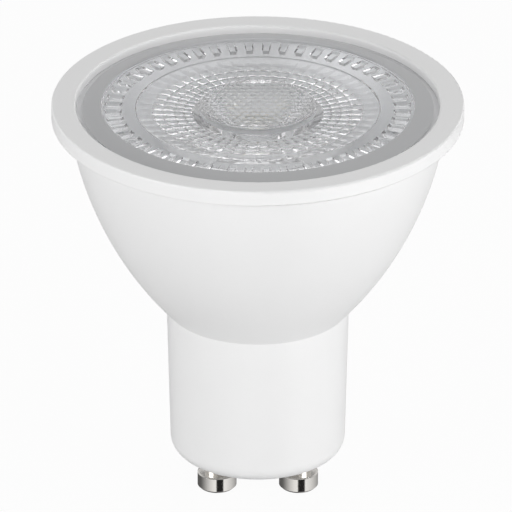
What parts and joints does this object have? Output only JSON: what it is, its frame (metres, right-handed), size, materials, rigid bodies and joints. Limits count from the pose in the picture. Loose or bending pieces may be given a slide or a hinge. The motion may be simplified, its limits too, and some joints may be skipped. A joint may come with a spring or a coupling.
{
  "type": "gu10 spotlight bulb",
  "caption": "LED spotlight lamp with a white bowl housing, a clear faceted lens and a twist-and-lock base with two pins.",
  "frame": {"origin": "midway between the two contact pins, on the plane of their tips", "axes": "+Z along the lamp's axis from the pins to the lens, +X from the left pin to the right pin"},
  "size_m": [0.05, 0.05, 0.052],
  "materials": {
    "white_bowl": "fine satin white moulding",
    "white_base": "fine satin white moulding",
    "nickel_plate": "bright nickel plate over turned brass",
    "clear_lens": "clear moulded optical plastic, frosted flange",
    "pressed_aluminium": "bright satin pressed aluminium",
    "silicone_pad": "soft grey thermal silicone",
    "white_solder_mask": "white solder mask on aluminium",
    "led_ceramic": "white ceramic carrier",
    "phosphor": "yellow phosphor in clear silicone",
    "white_silicone": "white silicone bead",
    "zinc_steel": "zinc-plated steel",
    "green_laminate": "glass-cloth laminate with green solder mask",
    "capacitor_sleeve": "black shrink sleeve on an aluminium can",
    "capacitor_box": "orange moulded box",
    "chip_resin": "black moulding resin with tinned leads",
    "ferrite": "dark grey sintered ferrite",
    "enamelled_copper": "enamelled copper wire",
    "resistor_lacquer": "pale blue-green lacquer",
    "white_wire": "white wire insulation",
    "red_wire": "red wire insulation",
    "black_wire": "black wire insulation"
  },
  "bodies": {
    "root": {"bowl_housing": "white_bowl", "base_cup": "white_base", "contact_pin_left": "nickel_plate", "contact_pin_right": "nickel_plate", "lens": "clear_lens", "heat_sink_cup": "pressed_aluminium", "thermal_pad": "silicone_pad", "led_board": "white_solder_mask", "led_substrate": "led_ceramic", "led_phosphor": "phosphor", "led_dam_ring": "white_silicone", "board_screws": "zinc_steel", "driver_board": "green_laminate", "input_capacitor": "capacitor_sleeve", "output_capacitor": "capacitor_sleeve", "film_capacitor": "capacitor_box", "bridge_rectifier": "chip_resin", "driver_chip": "chip_resin", "inductor_core": "ferrite", "inductor_winding": "enamelled_copper", "fusible_resistor": "resistor_lacquer", "pin_wire": "white_wire", "output_wire_positive": "red_wire", "output_wire_negative": "black_wire"}
  },
  "joints": []
}
